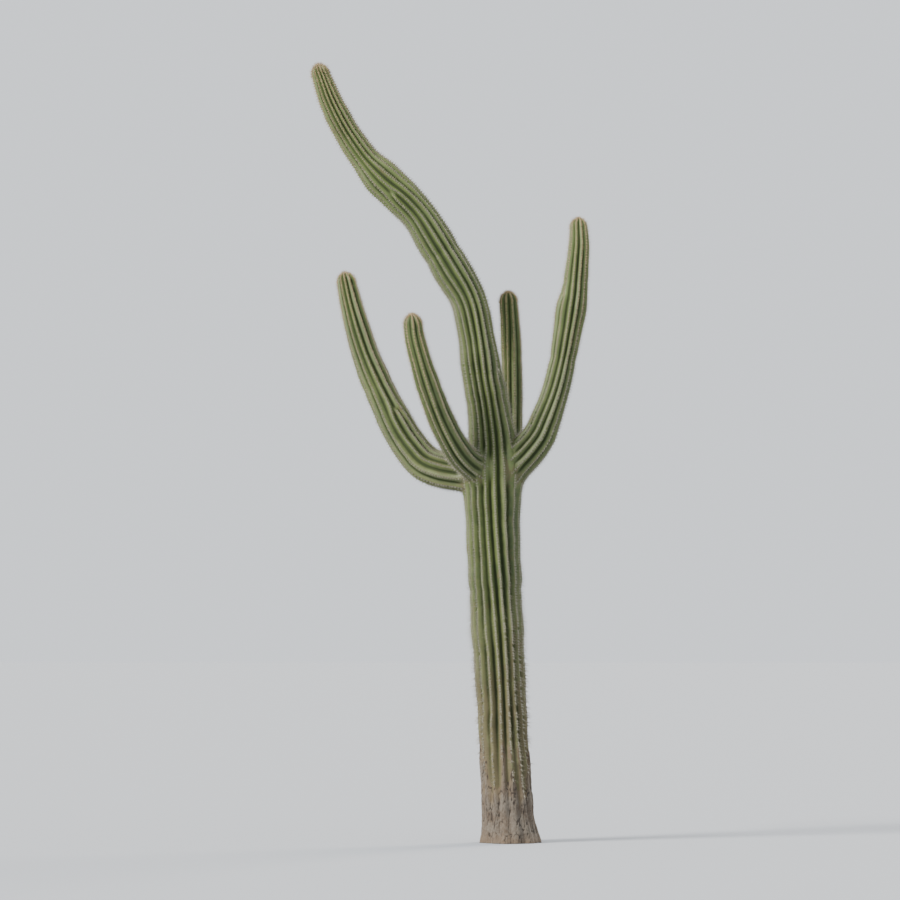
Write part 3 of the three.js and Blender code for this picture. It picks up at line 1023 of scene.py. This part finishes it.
def spine_rows(pads):
    """Root, direction, length and thickness of the spines of every pad. A direction leans from the pad's
    facing by a tilt, towards a bearing round it, counted from up the rib."""
    count = STAR_SPINES + MIDDLE_SPINES
    shape = (len(pads["point"]), count)
    star = np.arange(count) < STAR_SPINES
    low = 1 - smooth_step(pads["point"][:, 2:], *LOW_TRUNK)
    even = np.arange(count) / np.where(star, STAR_SPINES, MIDDLE_SPINES) * 2 * np.pi
    bearing = even + draw.normal(0, BEARING_SCATTER, shape)
    bearing = bearing + draw.uniform(0, 2 * np.pi, (shape[0], 1)) * (1 - star)
    tilt = np.where(star, draw.normal(*STAR_TILT, shape), draw.uniform(*MIDDLE_TILT, shape))
    lean = np.cos(bearing)[..., None] * pads["lengthwise"][:, None]
    lean = lean + np.sin(bearing)[..., None] * pads["beside"][:, None]
    direction = np.cos(tilt)[..., None] * pads["facing"][:, None] + np.sin(tilt)[..., None] * lean
    droop = LOW_DROOP * low * (~star)
    spread = draw.random(shape)
    short = STAR_LENGTH[0] + spread * (STAR_LENGTH[1] - STAR_LENGTH[0])
    long = (MIDDLE_LENGTH[0] + spread * (MIDDLE_LENGTH[1] - MIDDLE_LENGTH[0])) * (1 + LOW_GAIN * low)
    root = pads["point"][:, None] + ROOT_HEIGHT_SHARE * PAD_HEIGHT * pads["facing"][:, None]
    rows = {
        "root": root + STAR_RING * lean * star[:, None],
        "direction": unit(direction - droop[..., None] * pads["up"][:, None]),
        "length": np.where(star, short, long),
        "thickness": np.broadcast_to(np.where(star, STAR_THICKNESS, MIDDLE_THICKNESS), shape),
        "from_tip": np.broadcast_to(pads["from_tip"][:, None], shape),
        "middle": np.broadcast_to(~star, shape),
    }
    return {key: value.reshape((-1,) + value.shape[2:]) for key, value in rows.items()}


def spine_piece(name, spines):
    """Closed three-sided spikes: three corners round the root, a third of a turn apart, and the point."""
    axis = spines["direction"]
    reference = np.where(np.abs(axis[:, 2:]) < NEARLY_UPRIGHT, [[0.0, 0.0, 1.0]], [[1.0, 0.0, 0.0]])
    first = unit(np.cross(axis, reference))
    second = np.cross(axis, first)
    turn = 2 * np.pi * np.arange(3) / 3
    ring = np.cos(turn)[:, None] * first[:, None] + np.sin(turn)[:, None] * second[:, None]
    ring = spines["root"][:, None] + spines["thickness"][:, None, None] / 2 * ring
    point = spines["root"] + spines["length"][:, None] * axis
    vertices = np.concatenate([ring, point[:, None]], axis=1)
    triangles = np.array([[0, 1, 3], [1, 2, 3], [2, 0, 3], [0, 2, 1]])
    return repeated_piece(name, vertices, triangles, smooth=False)


spines = spine_rows(pads)
point_height = (spines["root"] + spines["length"][:, None] * spines["direction"])[:, 2]
spines = chosen(spines, point_height > LOWEST_POINT)
fresh = spines["from_tip"] + draw.normal(0, FRESH_SCATTER, len(spines["root"])) < FRESH_LENGTH
brown = spines["middle"] & (draw.random(len(spines["root"])) < BROWN_SHARE) & fresh
spine_kinds = (
    ("spines_brown", brown, SPINE_BROWN),
    ("spines_straw", fresh & ~brown, SPINE_STRAW),
    ("spines_grey", ~fresh, SPINE_GREY),
)
for kind, which, colour in spine_kinds:
    needle = plain_finish(kind + "_needle", colour, SPINE_ROUGHNESS)
    numbers = np.flatnonzero(which)
    numbers = numbers[np.argsort(spines["root"][numbers, 2], kind="stable")]
    pieces = np.array_split(numbers, int(np.ceil(len(numbers) / SPINES_PER_PIECE)))
    for number, some in enumerate(pieces, 1):
        piece = spine_piece(f"{kind}_{number}", chosen(spines, some))
        piece.data.materials.append(needle)
        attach(piece, "root")

# Studio: a pale floor under a pale sky, a broad soft sun from the left and a weaker warm one from behind on
# the right. The camera stands where a person would, 31 m off at eye height, and looks slightly up.
CAMERA_PLACE = (-0.30, -31.0, 1.6)
CAMERA_AIM = (-0.50, 0.0, 3.30)
LENS_MM = 147.0
FLOOR_HALF = 500.0
FLOOR_DROP = 0.001
FLOOR_BRIGHTNESS = 0.925
SKY_COLOUR = (0.86, 0.90, 0.95)
SKY_STRENGTH = 1.22

# Each sun's place, breadth in degrees, strength and colour
STUDIO_SUNS = (
    ("key_sun", (-11.5, -7.5, 9.0), 18.0, 6.8, (1.0, 0.955, 0.89)),
    ("back_sun", (8.0, 9.0, 6.0), 30.0, 3.4, (1.0, 0.90, 0.78)),
)


def aimed(thing, place, aim):
    """Puts a light or camera in its place, with its -Z axis on the aim and its top up."""
    thing.location = place
    thing.rotation_euler = (Vector(aim) - Vector(place)).to_track_quat("-Z", "Y").to_euler()
    bpy.context.scene.collection.objects.link(thing)


# The floor's paint is worked out so that it looks as bright as the sky above the horizon: the light that
# falls on it is pi times the sky's, and each sun's times the sine of its height
sky_light = SKY_STRENGTH * np.array(SKY_COLOUR)
floor_light = np.pi * sky_light
for name, place, angle, strength, colour in STUDIO_SUNS:
    sun = bpy.data.lights.new(name, "SUN")
    sun.angle, sun.energy, sun.color = np.radians(angle), strength, colour
    aimed(bpy.data.objects.new(name, sun), place, (0, 0, 0))
    floor_light = floor_light + strength * unit(np.array(place))[2] * np.array(colour)

signs = np.array([(-1, -1), (1, -1), (1, 1), (-1, 1)])
floor_points = np.column_stack([FLOOR_HALF * signs, np.full(4, -FLOOR_DROP)])
floor = mesh_object("floor", floor_points, np.arange(4), np.array([4]), smooth=False)
floor_paint = (*(FLOOR_BRIGHTNESS * np.pi * sky_light / floor_light), 1)
floor.data.materials.append(plain_finish("floor_paint", floor_paint, 1.0))

sky = bpy.data.worlds.new("pale_sky")
sky.use_nodes = True
sky.node_tree.nodes["Background"].inputs["Color"].default_value = (*SKY_COLOUR, 1)
sky.node_tree.nodes["Background"].inputs["Strength"].default_value = SKY_STRENGTH
bpy.context.scene.world = sky

lens = bpy.data.cameras.new("camera")
lens.lens = LENS_MM
lens.clip_end = 4 * FLOOR_HALF
camera = bpy.data.objects.new("camera", lens)
aimed(camera, CAMERA_PLACE, CAMERA_AIM)
bpy.context.scene.camera = camera
